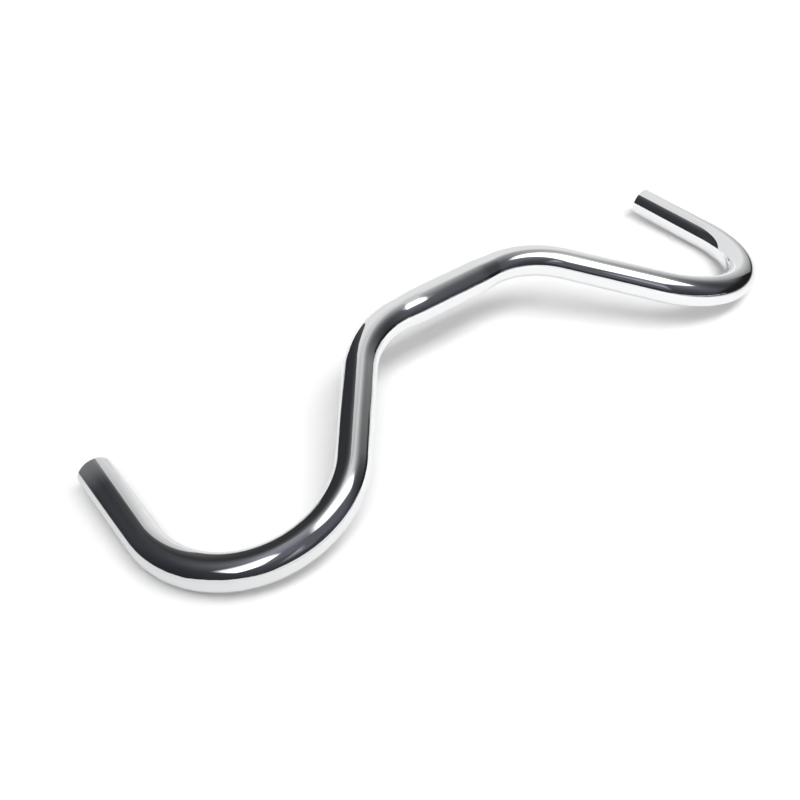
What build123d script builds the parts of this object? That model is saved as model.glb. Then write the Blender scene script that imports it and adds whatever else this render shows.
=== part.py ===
import os
from math import cos, radians, sin

from build123d import *

# Sizes in millimetres and degrees.
# The bar lies at rest: X along the clamp, Y the way the hooks reach, Z up, origin in the middle of the clamp.
tube_d = 23.8  # arms, hooks and grips
wall = 2.0  # the same all along
clamp_d = 26.0  # swollen seat for the stem
clamp_len = 60.0  # cylindrical part of the seat
taper_len = 14.0  # cone from the seat down to the tube, on each side, up to the inner bend
bend_r = 73.0  # centre-line radius of the inner bends and of the hooks
arm_sweep = 49.8  # the arms' turn forward, seen from above
arm_fall = 9.6  # the arms' slope down from the clamp
arm_len = 74.3  # straight part of an arm
grip_rise = 2.1  # the grips' slope up towards their open ends
grip_len = 70.9  # straight part of a grip
rim_c = 0.6  # chamfer on the open ends' edges

tube_r = tube_d / 2
bore_r = tube_r - wall
clamp_r = clamp_d / 2
seat_end = clamp_len / 2
run_end = seat_end + taper_len

# Headings of the clamp, the arm and the grip on the +X side.
along_clamp = Vector(1, 0, 0)
along_arm = Vector(
    cos(radians(arm_sweep)) * cos(radians(arm_fall)),
    sin(radians(arm_sweep)) * cos(radians(arm_fall)),
    -sin(radians(arm_fall)),
)
along_grip = Vector(0, -cos(radians(grip_rise)), sin(radians(grip_rise)))

# Inner bend, from the clamp into the arm.
inner_start = along_clamp * run_end
inner_axle = along_clamp.cross(along_arm).normalized()
inner_centre = inner_start + inner_axle.cross(along_clamp) * bend_r
inner_angle = along_clamp.get_angle(along_arm)
arm_start = inner_centre + (inner_start - inner_centre).rotate(Axis((0, 0, 0), inner_axle), inner_angle)

# Hook, from the arm round into the grip.
hook_start = arm_start + along_arm * arm_len
hook_axle = along_arm.cross(along_grip).normalized()
hook_centre = hook_start + hook_axle.cross(along_arm) * bend_r
hook_angle = along_arm.get_angle(along_grip)
grip_start = hook_centre + (hook_start - hook_centre).rotate(Axis((0, 0, 0), hook_axle), hook_angle)

with BuildPart() as handlebar:
    # Half of the clamp: the bore follows the outside, so that the wall stays even.
    with BuildSketch(Plane.XY):
        with BuildLine():
            Polyline(
                (0, clamp_r - wall),
                (0, clamp_r),
                (seat_end, clamp_r),
                (run_end, tube_r),
                (run_end, bore_r),
                (seat_end, clamp_r - wall),
                close=True,
            )
        make_face()
    revolve(axis=Axis.X)

    with BuildSketch(Plane(inner_start, z_dir=along_clamp)):
        Circle(tube_r)
        Circle(bore_r, mode=Mode.SUBTRACT)
    revolve(axis=Axis(inner_centre, inner_axle), revolution_arc=inner_angle)

    with BuildSketch(Plane(arm_start, z_dir=along_arm)):
        Circle(tube_r)
        Circle(bore_r, mode=Mode.SUBTRACT)
    extrude(amount=arm_len)

    with BuildSketch(Plane(hook_start, z_dir=along_arm)):
        Circle(tube_r)
        Circle(bore_r, mode=Mode.SUBTRACT)
    revolve(axis=Axis(hook_centre, hook_axle), revolution_arc=hook_angle)

    with BuildSketch(Plane(grip_start, z_dir=along_grip)):
        Circle(tube_r)
        Circle(bore_r, mode=Mode.SUBTRACT)
    extrude(amount=grip_len)

    # Both edges of the open end are taken off.
    end_face = handlebar.faces().filter_by(GeomType.PLANE).sort_by(Axis.Y)[0]
    chamfer(end_face.edges(), length=rim_c)

    mirror(about=Plane.YZ)

os.makedirs("parts", exist_ok=True)
handlebar.part.label = "handlebar"
export_step(handlebar.part, "parts/handlebar.step")
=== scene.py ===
import math

import bpy
from mathutils import Matrix, Vector


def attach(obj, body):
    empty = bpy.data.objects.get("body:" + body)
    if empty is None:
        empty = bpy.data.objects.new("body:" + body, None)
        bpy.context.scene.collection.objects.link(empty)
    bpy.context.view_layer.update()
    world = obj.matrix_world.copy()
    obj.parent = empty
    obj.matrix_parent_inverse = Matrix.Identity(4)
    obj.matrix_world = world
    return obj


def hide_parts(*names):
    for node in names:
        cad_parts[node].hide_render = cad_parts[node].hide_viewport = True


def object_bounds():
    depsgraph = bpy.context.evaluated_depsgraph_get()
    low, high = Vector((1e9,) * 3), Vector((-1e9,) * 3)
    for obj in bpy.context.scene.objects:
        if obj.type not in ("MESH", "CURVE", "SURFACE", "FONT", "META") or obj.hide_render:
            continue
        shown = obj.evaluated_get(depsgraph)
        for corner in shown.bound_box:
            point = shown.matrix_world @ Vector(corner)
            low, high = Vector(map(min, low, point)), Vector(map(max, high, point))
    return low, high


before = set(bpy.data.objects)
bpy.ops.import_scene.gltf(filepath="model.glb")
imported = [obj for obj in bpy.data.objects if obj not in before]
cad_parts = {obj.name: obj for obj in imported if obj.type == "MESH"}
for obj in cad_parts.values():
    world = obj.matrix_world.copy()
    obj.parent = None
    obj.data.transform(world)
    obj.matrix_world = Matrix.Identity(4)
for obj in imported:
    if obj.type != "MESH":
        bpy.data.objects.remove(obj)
cad_lo, cad_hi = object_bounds()

# Sizes of the bar in metres, the same as in the CAD source; the outside lies a hair lower,
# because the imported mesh's flats lie that far inside the true round and the visual stays in its box
FLATS = 0.00004
TUBE_R = 0.0119 - FLATS
BORE_R = 0.0099
CLAMP_R = 0.0130 - FLATS
CLAMP_BORE_R = 0.0110
SEAT_END = 0.030
CONE_END = 0.044
BEND_R = 0.073
ARM_SWEEP = math.radians(49.8)
ARM_FALL = math.radians(9.6)
ARM_LEN = 0.0743
GRIP_RISE = math.radians(2.1)
GRIP_LEN = 0.0709
RIM_C = 0.0006

# Fineness of the mesh: points in a ring, rings along a straight, and the turn between rings in a bend
ROUND = 96
SEAT_RINGS = 6
CONE_RINGS = 7
ARM_RINGS = 8
GRIP_RINGS = 8
OUTER_STEP = math.radians(1.25)
BORE_STEP = math.radians(3.5)
SHARP_ANGLE = math.radians(30)

# The map along and round the tube, whose seam starts on the underside of the clamp
TUBE_MAP = "AlongTube"
SEAM_ANGLE = -math.pi / 2

# Order of the tube's two materials
SKIN, BORE = 0, 1

# Headings of the arm and the grip on the +X side
ALONG_ARM = Vector((
    math.cos(ARM_SWEEP) * math.cos(ARM_FALL),
    math.sin(ARM_SWEEP) * math.cos(ARM_FALL),
    -math.sin(ARM_FALL),
))
ALONG_GRIP = Vector((0, -math.cos(GRIP_RISE), math.sin(GRIP_RISE)))


# The mesh of the bar

def bend(start, heading, leaving):
    """Axle, centre and angle of the bend that turns heading into leaving at start."""
    axle = heading.cross(leaving).normalized()
    centre = start + axle.cross(heading) * BEND_R
    return axle, centre, heading.angle(leaving)


def half_path(step):
    """Stations of the +X half, from the middle of the clamp outwards, with no twist between them.

    A station is (distance along the path, point, basis), and the basis columns are the heading
    and the two directions across the tube.
    """
    point = Vector((0, 0, 0))
    basis = Matrix.Identity(3)
    gone = 0.0
    stations = [(gone, point.copy(), basis.copy())]

    def straight(length, count):
        """Goes straight on."""
        nonlocal point, gone
        for k in range(1, count + 1):
            stations.append((
                gone + length * k / count,
                point + basis.col[0] * length * k / count,
                basis.copy(),
            ))
        point = stations[-1][1]
        gone += length

    def turn(leaving):
        """Goes round a bend to a new heading."""
        nonlocal point, basis, gone
        axle, centre, angle = bend(point, basis.col[0].copy(), leaving)
        count = math.ceil(angle / step)
        spoke, before = point - centre, basis.copy()
        for k in range(1, count + 1):
            swing = Matrix.Rotation(angle * k / count, 3, axle)
            stations.append((
                gone + BEND_R * angle * k / count,
                centre + swing @ spoke,
                swing @ before,
            ))
        point, basis = stations[-1][1], stations[-1][2].copy()
        gone += BEND_R * angle

    straight(SEAT_END, SEAT_RINGS)
    straight(CONE_END - SEAT_END, CONE_RINGS)
    turn(ALONG_ARM)
    straight(ARM_LEN, ARM_RINGS)
    turn(ALONG_GRIP)
    straight(GRIP_LEN - RIM_C, GRIP_RINGS)
    straight(RIM_C, 1)
    return stations


def radius_at(gone, seat, tube):
    """Radius at a distance along the path: seat in the clamp, tube beyond the cone."""
    share = min(1.0, max(0.0, (gone - SEAT_END) / (CONE_END - SEAT_END)))
    return seat + (tube - seat) * share


def ring(station, radius):
    """Points round one station."""
    _, point, basis = station
    made = []
    for k in range(ROUND):
        a = 2 * math.pi * k / ROUND + SEAM_ANGLE
        made.append(point + (basis.col[1] * math.cos(a) + basis.col[2] * math.sin(a)) * radius)
    return made


def half_rings(step, seat, tube, end, part):
    """Rings of the +X half as (distance, points, part); the last is the rim, of radius end."""
    path = half_path(step)
    rings = [(st[0], ring(st, radius_at(st[0], seat, tube)), part) for st in path[:-1]]
    return rings + [(path[-1][0], ring(path[-1], end), "rim")]


def mirrored(points):
    """The same points on the -X side."""
    return [Vector((-p.x, p.y, p.z)) for p in points]


def both_halves(half):
    """Rings of one half, middle first, as rings of the whole bar from its -X end to its +X end."""
    left = [(-gone, mirrored(points), part) for gone, points, part in reversed(half[1:])]
    return left + half


def tube_rings():
    """Every ring of the closed tube in order: along the outside, then back along the bore."""
    outside = half_rings(OUTER_STEP, CLAMP_R, TUBE_R, TUBE_R - RIM_C, "skin")
    bore = half_rings(BORE_STEP, CLAMP_BORE_R, BORE_R, BORE_R + RIM_C, "bore")
    return both_halves(outside) + both_halves(bore)[::-1]


def build_tube(name, skin, bore):
    """The whole tube as one closed mesh with a map that runs along and round it."""
    rings = tube_rings()
    vertices = [p for _, points, _ in rings for p in points]
    faces, map_at, material_of = [], [], []
    total = max(gone for gone, _, _ in rings)
    for j, (gone, _, part) in enumerate(rings):
        n = (j + 1) % len(rings)
        gone_n, _, part_n = rings[n]
        u, u_n = (gone / total + 1) / 2, (gone_n / total + 1) / 2
        for k in range(ROUND):
            m = (k + 1) % ROUND
            faces.append((j * ROUND + k, j * ROUND + m, n * ROUND + m, n * ROUND + k))
            v, v_m = k / ROUND, (k + 1) / ROUND
            map_at += [(u, v), (u, v_m), (u_n, v_m), (u_n, v)]
            material_of.append(BORE if "bore" in (part, part_n) else SKIN)
    mesh = bpy.data.meshes.new(name)
    mesh.from_pydata(vertices, [], faces)
    mesh.materials.append(skin)
    mesh.materials.append(bore)
    layer = mesh.uv_layers.new(name=TUBE_MAP)
    layer.uv.foreach_set("vector", [x for pair in map_at for x in pair])
    mesh.polygons.foreach_set("material_index", material_of)
    mesh.polygons.foreach_set("use_smooth", [True] * len(faces))
    mesh.set_sharp_from_angle(angle=SHARP_ANGLE)
    mesh.update()
    piece = bpy.data.objects.new(name, mesh)
    bpy.context.scene.collection.objects.link(piece)
    return piece


# Shader nodes

def new_material(name):
    """A material with its nodes cleared, and its node tree."""
    material = bpy.data.materials.new(name)
    material.use_nodes = True
    material.node_tree.nodes.clear()
    return material, material.node_tree


def add(tree, kind, links=(), **properties):
    """A node with its properties set, and links as (name or number of the input, socket)."""
    node = tree.nodes.new(kind)
    for key, value in properties.items():
        setattr(node, key, value)
    for key, socket in links:
        tree.links.new(socket, node.inputs[key])
    return node


def put(node, **values):
    """Sets a node's inputs, with underscores for the spaces in their names."""
    for key, value in values.items():
        node.inputs[key.replace("_", " ")].default_value = value
    return node


def surface(tree, shader):
    """Makes a shader the material's surface."""
    add(tree, "ShaderNodeOutputMaterial", [("Surface", shader)])


def ranged(tree, socket, start, end, low, high, curve="LINEAR"):
    """Low before start, high after end and a straight or smooth change between."""
    node = add(tree, "ShaderNodeMapRange", [("Value", socket)], interpolation_type=curve)
    return put(node, From_Min=start, From_Max=end, To_Min=low, To_Max=high).outputs["Result"]


def eased(tree, socket, start, end, low=0.0, high=1.0):
    """Low before start, high after end and a smooth change between."""
    return ranged(tree, socket, start, end, low, high, "SMOOTHSTEP")


def math_node(tree, operation, *terms):
    """A Math node on sockets or numbers."""
    node = add(tree, "ShaderNodeMath", operation=operation)
    for socket, term in zip(node.inputs, terms):
        if isinstance(term, (int, float)):
            socket.default_value = term
        else:
            tree.links.new(term, socket)
    return node.outputs["Value"]


# Materials of the bar

# Tones and roughness run from the first value to the second with a noise
POLISH_TONES = (0.845, 0.855, 0.870, 1), (0.885, 0.890, 0.895, 1)
POLISH_ROUGHNESS = 0.022, 0.050
BORE_TONES = (0.50, 0.50, 0.51, 1), (0.68, 0.68, 0.69, 1)
BORE_ROUGHNESS = 0.30, 0.48

# How metallic the bore is under its oxide film
BORE_METALLIC = 0.7

# The dulled end: where it starts, as a share of the bar's length, and how metallic its tip is
DULLED_FROM = 0.968
DULLED_METALLIC = 0.84

# The part of a noise's range that is used, and how rough its detail is
NOISE_RANGE = 0.25, 0.75
NOISE_ROUGHNESS = 0.55


def tube_map(tree):
    """The tube's own map: X along it from 0 to 1, Y round it from 0 to 1."""
    return add(tree, "ShaderNodeUVMap", uv_map=TUBE_MAP).outputs["UV"]


def stretched_noise(tree, along, around, detail):
    """Noise on the tube's own map, so many times along the tube and so many round it."""
    scaled = put(add(tree, "ShaderNodeMapping", [("Vector", tube_map(tree))]), Scale=(along, around, 1))
    noise = add(tree, "ShaderNodeTexNoise", [("Vector", scaled.outputs["Vector"])])
    return put(noise, Scale=1.0, Detail=detail, Roughness=NOISE_ROUGHNESS).outputs["Fac"]


def toned(tree, noise, tones):
    """A colour between two tones."""
    mix = add(tree, "ShaderNodeMix", [("Factor", noise)], data_type="RGBA")
    return put(mix, A=tones[0], B=tones[1]).outputs["Result"]


def bumped(tree, noise, strength, distance):
    """Normals that follow a noise, with its height in metres."""
    bump = add(tree, "ShaderNodeBump", [("Height", noise)])
    return put(bump, Strength=strength, Distance=distance).outputs["Normal"]


def polished_aluminium():
    """Bright polish with faint smears and buffing, a little dulled at the end handled most."""
    material, tree = new_material("polished_aluminium")
    smear = stretched_noise(tree, along=26, around=3, detail=3)
    buffing = stretched_noise(tree, along=90, around=160, detail=2)
    where = add(tree, "ShaderNodeSeparateXYZ", [("Vector", tube_map(tree))])
    metal = add(tree, "ShaderNodeBsdfPrincipled", [
        ("Base Color", toned(tree, smear, POLISH_TONES)),
        ("Metallic", eased(tree, where.outputs["X"], DULLED_FROM, 1.0, 1.0, DULLED_METALLIC)),
        ("Roughness", ranged(tree, smear, *NOISE_RANGE, *POLISH_ROUGHNESS)),
        ("Normal", bumped(tree, buffing, strength=0.02, distance=0.0002)),
    ])
    surface(tree, metal.outputs["BSDF"])
    return material


def drawn_aluminium():
    """The bore, left as it was drawn: dull with its oxide film, with lengthwise die lines."""
    material, tree = new_material("drawn_aluminium")
    lines = stretched_noise(tree, along=6, around=130, detail=3)
    metal = add(tree, "ShaderNodeBsdfPrincipled", [
        ("Base Color", toned(tree, lines, BORE_TONES)),
        ("Roughness", ranged(tree, lines, *NOISE_RANGE, *BORE_ROUGHNESS)),
        ("Normal", bumped(tree, lines, strength=0.25, distance=0.0003)),
    ])
    put(metal, Metallic=BORE_METALLIC)
    surface(tree, metal.outputs["BSDF"])
    return material


# The bar

tube = build_tube("handlebar_tube", polished_aluminium(), drawn_aluminium())
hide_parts("handlebar")
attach(tube, "root")


# The studio, with sheets that only the metal sees, placed from the photograph's reflections

# Levels of light and the floor's colour, where 1 is white, and the key light's power in watts
KEY_WATTS = 17.8
WORLD_FILL = 0.53
FLOOR_COLOUR = 0.92
FLOOR_LIFT = 0.90
SOFTBOX_LEVEL = 2.2
SCREEN_LEVELS = 0.84, 0.66
NET_LEVEL = 0.03
FLAG_LEVELS = 0.27, 0.13
LOW_FLAG_LEVEL = 0.11
HAND_LEVEL = 0.34
CARD_LEVEL = 0.84
DARK_FLOOR_AND_SHADE_LEVEL = 0.04
DARK_CASE_LEVEL = 0.015
ROOM_LEVEL = 0.018

# Tints of the lights
WHITE = (1.0, 1.0, 1.0)
COOL = (0.97, 1.0, 1.16)
PLAIN = (0.98, 1.0, 0.98)

# Places and sizes in metres
KEY_AT = Vector((0.15, 0.60, 1.3))
KEY_SIZE = 1.4, 0.46
FLOOR_Z = cad_lo.z
FLOOR_REACH = 8.0
LIFT_FROM = (0.20, 0.55, FLOOR_Z)
LIFT_REACH = 0.45, 2.0
DARK_FLOOR_Z = FLOOR_Z + 0.0002
DARK_FLOOR_REACH = 6.0
HAND_Y = 0.74
SCREEN_Y = -0.58
NET_Y = -0.12
FAR_EDGE_Y = 0.42
NEAR_EDGE_Y = 0.20
CASE_X = -0.48
CASE_Y = 0.10, 0.75
CASE_TOP = 0.13
ROOM_R = 5.5

# A soft side is (direction, start, end), in metres along the direction: 0 up to start, 1 past end,
# or from low to high where it is (direction, start, end, low, high)
# A patch is a tuple of soft sides and shows where all of them do; a sheet is clear outside its patches
X, Y, Z = (1, 0, 0), (0, 1, 0), (0, 0, 1)

# The dark floor round the white table; the last two patches are painted shade that dims the table's sides
# as the metal mirrors them
DARK_FLOOR_AND_SHADE_PATCHES = (
    ((X, 0.125, 0.17), ((0.58, 1, 0), 0.035, -0.06)),
    ((X, 0.33, 0.39), (Y, -0.03, -0.06)),
    ((X, -0.34, -0.52), (Y, -0.06, 0.03)),
    (((-0.625, 1, 0), 0.31, 0.47),),
    # Painted shade: a partial dark veil over the table's +X side and a fainter one over its -X side
    ((X, -0.05, 0.45, 0.0, 0.28),),
    ((X, -0.20, -0.36, 0.0, 0.12),),
)

# The softbox's two parts, clockwise from above: corners (x, y) and the softness of the side from there on
WEST_CORNERS = (
    (-0.70, 0.37, 0.22), (-0.90, 1.06, 0.30), (0.62, 1.03, 0.10), (0.48, 0.03, 0.30), (0.05, -0.10, 0.28),
)
EAST_CORNERS = ((0.42, 0.115, 0.10), (0.56, 1.03, 0.30), (1.80, 1.00, 0.30), (1.50, 0.25, 0.40))

# The dark shape of the camera: a strip along Y that opens into a wedge further back, and a lower piece
FLAG_PATCHES = (
    ((X, 0.16, 0.235), (X, 0.395, 0.34)),
    (((0.58, 0.81, 0), 0.312, 0.362), ((-0.69, 0.73, 0), -0.098, -0.048), (X, 0.08, 0.14)),
)
FLAG_FADE = 0.05, 0.30
LOW_FLAG_PATCH = ((Y, 0.165, 0.21), (X, 0.26, 0.22))

# The hand that holds it, a soft pale spot
HAND_PATCH = ((X, 0.08, 0.18), ((1, 0, 0.5), 0.65, 0.57), (Z, 0.12, 0.45), (Z, 0.80, 0.58))

# The pale screen, dimmer higher up, and the net that dims it for the near arm and the near grip
SCREEN_PATCH = ((X, -1.80, -1.17),)
SCREEN_FADE = 0.9, 2.0
NET_PATCHES = (
    ((X, -0.22, 0.0), (X, 0.12, 0.06), (Z, 0.10, 0.38, 0.0, 0.25)),
    ((X, 0.05, 0.17), (Z, -0.05, 0.12, 0.17, 0.35)),
)

# The dark case, which fades out towards +Y and towards its top
CASE_PATCH = ((Y, CASE_Y[1], 0.45), (Z, CASE_TOP, 0.02))

# Level sheets: the least x and y, the greatest x and y, and z
WEST_SHEET = (-1.2, -0.4, 0.8, 1.4, 1.3)
EAST_SHEET = (0.2, -0.4, 2.1, 1.4, 1.301)
FLAG_SHEET = (0.06, -0.03, 0.62, 0.50, 0.40)
LOW_FLAG_SHEET = (0.02, 0.16, 0.27, 0.50, 0.15)

# Upper edges of the sheets that stand along X, as (x, z)
HAND_TOP = ((0.06, 0.82), (0.62, 0.82))
SCREEN_TOP = ((-1.8, 3.0), (-0.07, 3.0))
NET_TOP = ((-0.25, 0.7), (0.27, 0.7))
FAR_EDGE_TOP = ((-0.42, -0.050), (-0.25, -0.042), (0.35, -0.036))
NEAR_EDGE_TOP = (
    (-0.04, -0.044), (0.11, -0.041), (0.20, -0.034), (0.25, -0.034), (0.29, -0.039), (0.32, -0.029),
    (0.37, -0.023), (0.51, -0.006), (0.60, 0.0), (0.80, 0.0), (1.10, -0.02), (1.60, FLOOR_Z + 0.001),
)

# Soft glows in the dark room: azimuth from +Y towards +X, elevation, sharpness and level
COOL_GLOWS = (
    (20, 50, 4, 0.07), (-23, 50, 17, 0.11), (-33, 18, 20, 0.05), (141, 19, 8, 0.03), (110, 72, 15, 0.085),
)
PLAIN_GLOWS = ((-97, 80, 16, 0.85), (-126, 45, 40, 0.85), (-121, 15, 8, 0.63))


# Materials of the studio

def seen_directly(tree):
    """1 for camera, glossy and transmission rays, 0 for the rest."""
    path = add(tree, "ShaderNodeLightPath").outputs
    either_ray = math_node(tree, "MAXIMUM", path["Is Camera Ray"], path["Is Glossy Ray"])
    return math_node(tree, "MAXIMUM", either_ray, path["Is Transmission Ray"])


def position(tree):
    """The shaded point."""
    return add(tree, "ShaderNodeNewGeometry").outputs["Position"]


def dot(tree, vector, direction):
    """How far a vector reaches along a direction."""
    node = add(tree, "ShaderNodeVectorMath", [(0, vector)], operation="DOT_PRODUCT")
    node.inputs[1].default_value = direction
    return node.outputs["Value"]


def soft_side(tree, direction, start, end, low=0.0, high=1.0):
    """Runs from low to high between two distances along a direction."""
    return eased(tree, dot(tree, position(tree), direction), start, end, low, high)


def both(tree, shares):
    """1 where every share is 1."""
    total = shares[0]
    for share in shares[1:]:
        total = math_node(tree, "MULTIPLY", total, share)
    return total


def either(tree, shares):
    """1 where any share is 1."""
    none = both(tree, [math_node(tree, "SUBTRACT", 1.0, share) for share in shares])
    return math_node(tree, "SUBTRACT", 1.0, none)


def inside(corners):
    """The patch between the sides that run from corner to corner."""
    sides = []
    for (x0, y0, soft), (x1, y1, _) in zip(corners, corners[1:] + corners[:1]):
        length = math.hypot(x1 - x0, y1 - y0)
        inward = ((y1 - y0) / length, (x0 - x1) / length, 0)
        line = x0 * inward[0] + y0 * inward[1]
        sides.append((inward, line - soft / 2, line + soft / 2))
    return tuple(sides)


def glow_material(name, level, patches, colour):
    """A glow, clear outside its patches if it has any; level is a number or a soft side between two."""
    material, tree = new_material(name)
    light = put(add(tree, "ShaderNodeEmission"), Color=(*colour, 1))
    if isinstance(level, tuple):
        tree.links.new(soft_side(tree, *level), light.inputs["Strength"])
    else:
        put(light, Strength=level)
    shader = light.outputs["Emission"]
    if patches:
        shares = [both(tree, [soft_side(tree, *side) for side in patch]) for patch in patches]
        clear = add(tree, "ShaderNodeBsdfTransparent")
        mixed = add(tree, "ShaderNodeMixShader", [
            (0, either(tree, shares)), (1, clear.outputs["BSDF"]), (2, shader),
        ])
        shader = mixed.outputs["Shader"]
    surface(tree, shader)
    return material


def floor_material():
    """Matt white, lifted to a white background with the distance from a point by the bar."""
    material, tree = new_material("studio_floor")
    matt = put(add(tree, "ShaderNodeBsdfDiffuse"), Color=(FLOOR_COLOUR, FLOOR_COLOUR, FLOOR_COLOUR, 1))
    reach = add(tree, "ShaderNodeVectorMath", [(0, position(tree))], operation="DISTANCE")
    reach.inputs[1].default_value = LIFT_FROM
    amount = eased(tree, reach.outputs["Value"], *LIFT_REACH, 0.0, FLOOR_LIFT)
    strength = math_node(tree, "MULTIPLY", seen_directly(tree), amount)
    lift = add(tree, "ShaderNodeEmission", [("Strength", strength)])
    total = add(tree, "ShaderNodeAddShader", [(0, matt.outputs["BSDF"]), (1, lift.outputs["Emission"])])
    surface(tree, total.outputs["Shader"])
    return material


def glows(tree, aim, base, lobes, colour):
    """An even glow with peaks in a few directions."""
    total = base
    for azimuth, elevation, sharpness, level in lobes:
        a, e = math.radians(azimuth), math.radians(elevation)
        peak = (math.sin(a) * math.cos(e), math.cos(a) * math.cos(e), math.sin(e))
        off = math_node(tree, "SUBTRACT", dot(tree, aim, peak), 1.0)
        fall = math_node(tree, "EXPONENT", math_node(tree, "MULTIPLY", off, sharpness))
        total = math_node(tree, "ADD", total, math_node(tree, "MULTIPLY", fall, level))
    light = put(add(tree, "ShaderNodeEmission", [("Strength", total)]), Color=(*colour, 1))
    return light.outputs["Emission"]


def room_material():
    """A dark room with a few soft glows."""
    material, tree = new_material("dark_room")
    outwards = add(tree, "ShaderNodeVectorMath", [(0, position(tree))], operation="NORMALIZE")
    aim = outwards.outputs["Vector"]
    cool = glows(tree, aim, ROOM_LEVEL, COOL_GLOWS, COOL)
    plain = glows(tree, aim, 0.0, PLAIN_GLOWS, PLAIN)
    total = add(tree, "ShaderNodeAddShader", [(0, cool), (1, plain)])
    surface(tree, total.outputs["Shader"])
    return material


# Stage pieces

def stage_sheet(name, corners, material):
    """A flat stage piece."""
    mesh = bpy.data.meshes.new(name)
    mesh.from_pydata(corners, [], [tuple(range(len(corners)))])
    mesh.materials.append(material)
    made = bpy.data.objects.new(name, mesh)
    bpy.context.scene.collection.objects.link(made)
    return made


def only_mirrored(made):
    """Leaves a stage piece to be seen in the metal alone."""
    made.visible_camera = False
    made.visible_diffuse = False
    made.visible_shadow = False


def mirrored_sheet(name, corners, level, patches=(), colour=WHITE):
    """A glowing sheet that is seen in the metal alone."""
    only_mirrored(stage_sheet(name, corners, glow_material(name, level, patches, colour)))


def level_sheet(x0, y0, x1, y1, z):
    """Corners of a level rectangle."""
    return [(x0, y0, z), (x1, y0, z), (x1, y1, z), (x0, y1, z)]


def level_square(reach, z):
    """Corners of a level square about the middle of the bar."""
    return level_sheet(-reach, -reach, reach, reach, z)


def standing_sheet(y, top):
    """Corners of a sheet that stands on the floor along X, below an upper edge from low to high x."""
    foot = [(top[0][0], y, FLOOR_Z), (top[-1][0], y, FLOOR_Z)]
    return foot + [(x, y, z) for x, z in reversed(top)]


# The floor, and its dark surroundings with painted shade on the table's sides, as the metal mirrors them
stage_sheet("floor", level_square(FLOOR_REACH, FLOOR_Z), floor_material())
mirrored_sheet(
    "dark_floor_and_painted_shade", level_square(DARK_FLOOR_REACH, DARK_FLOOR_Z), DARK_FLOOR_AND_SHADE_LEVEL, DARK_FLOOR_AND_SHADE_PATCHES,
)

# The softbox overhead, with the dark shape of the camera and its holder under it
mirrored_sheet("west_softbox", level_sheet(*WEST_SHEET), SOFTBOX_LEVEL, [inside(WEST_CORNERS)])
mirrored_sheet("east_softbox", level_sheet(*EAST_SHEET), SOFTBOX_LEVEL, [inside(EAST_CORNERS)])
flag_level = (Y, *FLAG_FADE, *FLAG_LEVELS)
mirrored_sheet("camera_flag", level_sheet(*FLAG_SHEET), flag_level, FLAG_PATCHES, COOL)
mirrored_sheet("low_flag", level_sheet(*LOW_FLAG_SHEET), LOW_FLAG_LEVEL, [LOW_FLAG_PATCH], COOL)
mirrored_sheet("hand", standing_sheet(HAND_Y, HAND_TOP), HAND_LEVEL, [HAND_PATCH], COOL)

# The pale screen, the table's turned-up edges and a dark case, all standing round the bar
screen_level = (Z, *SCREEN_FADE, *SCREEN_LEVELS)
mirrored_sheet("pale_screen", standing_sheet(SCREEN_Y, SCREEN_TOP), screen_level, [SCREEN_PATCH])
mirrored_sheet("net", standing_sheet(NET_Y, NET_TOP), NET_LEVEL, NET_PATCHES)
mirrored_sheet("far_edge", standing_sheet(FAR_EDGE_Y, FAR_EDGE_TOP), CARD_LEVEL)
mirrored_sheet("near_edge", standing_sheet(NEAR_EDGE_Y, NEAR_EDGE_TOP), CARD_LEVEL)
case_foot = [(CASE_X, y, FLOOR_Z) for y in CASE_Y]
case_top = [(CASE_X, y, CASE_TOP) for y in reversed(CASE_Y)]
mirrored_sheet("dark_case", case_foot + case_top, DARK_CASE_LEVEL, [CASE_PATCH])

# The dark room
bpy.ops.mesh.primitive_uv_sphere_add(segments=64, ring_count=32, radius=ROOM_R)
room = bpy.context.object
room.name = "dark_room"
room.data.materials.append(room_material())
only_mirrored(room)

# The key light, a soft rectangle overhead that points straight down and that the metal doesn't mirror
lamp = bpy.data.lights.new("key", "AREA")
lamp.shape = "RECTANGLE"
lamp.size, lamp.size_y = KEY_SIZE
lamp.energy = KEY_WATTS
key = bpy.data.objects.new("key", lamp)
key.matrix_world = Matrix.Translation(KEY_AT)
key.visible_glossy = False
bpy.context.scene.collection.objects.link(key)

# The fill, and white where the world is seen directly
world = bpy.data.worlds.new("studio")
bpy.context.scene.world = world
world.use_nodes = True
world_tree = world.node_tree
world_tree.nodes.clear()
sky_level = ranged(world_tree, seen_directly(world_tree), 0.0, 1.0, WORLD_FILL, 1.0)
sky = put(add(world_tree, "ShaderNodeBackground", [("Strength", sky_level)]), Color=(*WHITE, 1))
add(world_tree, "ShaderNodeOutputWorld", [("Surface", sky.outputs["Background"])])


# The camera, fitted to the photograph's outline of the bar
SENSOR = 36.0
IMAGE = 800
FOCAL_PX = 878.21
CLIP = 0.01, 50
RIGHT = Vector((-0.78279493, 0.62198203, -0.01924731))
DOWN = Vector((0.42802067, 0.51571814, -0.74218131))
FORWARD = Vector((-0.45169725, -0.58921401, -0.66992271))
EYE = Vector((0.35692, 0.40434, 0.37770))

lens = bpy.data.cameras.new("camera")
lens.sensor_width = SENSOR
lens.lens = FOCAL_PX / IMAGE * SENSOR
lens.clip_start, lens.clip_end = CLIP
camera = bpy.data.objects.new("camera", lens)
camera.matrix_world = Matrix.Translation(EYE) @ Matrix((RIGHT, -DOWN, -FORWARD)).transposed().to_4x4()
bpy.context.scene.collection.objects.link(camera)
bpy.context.scene.camera = camera

bpy.context.scene.view_settings.view_transform = "Standard"
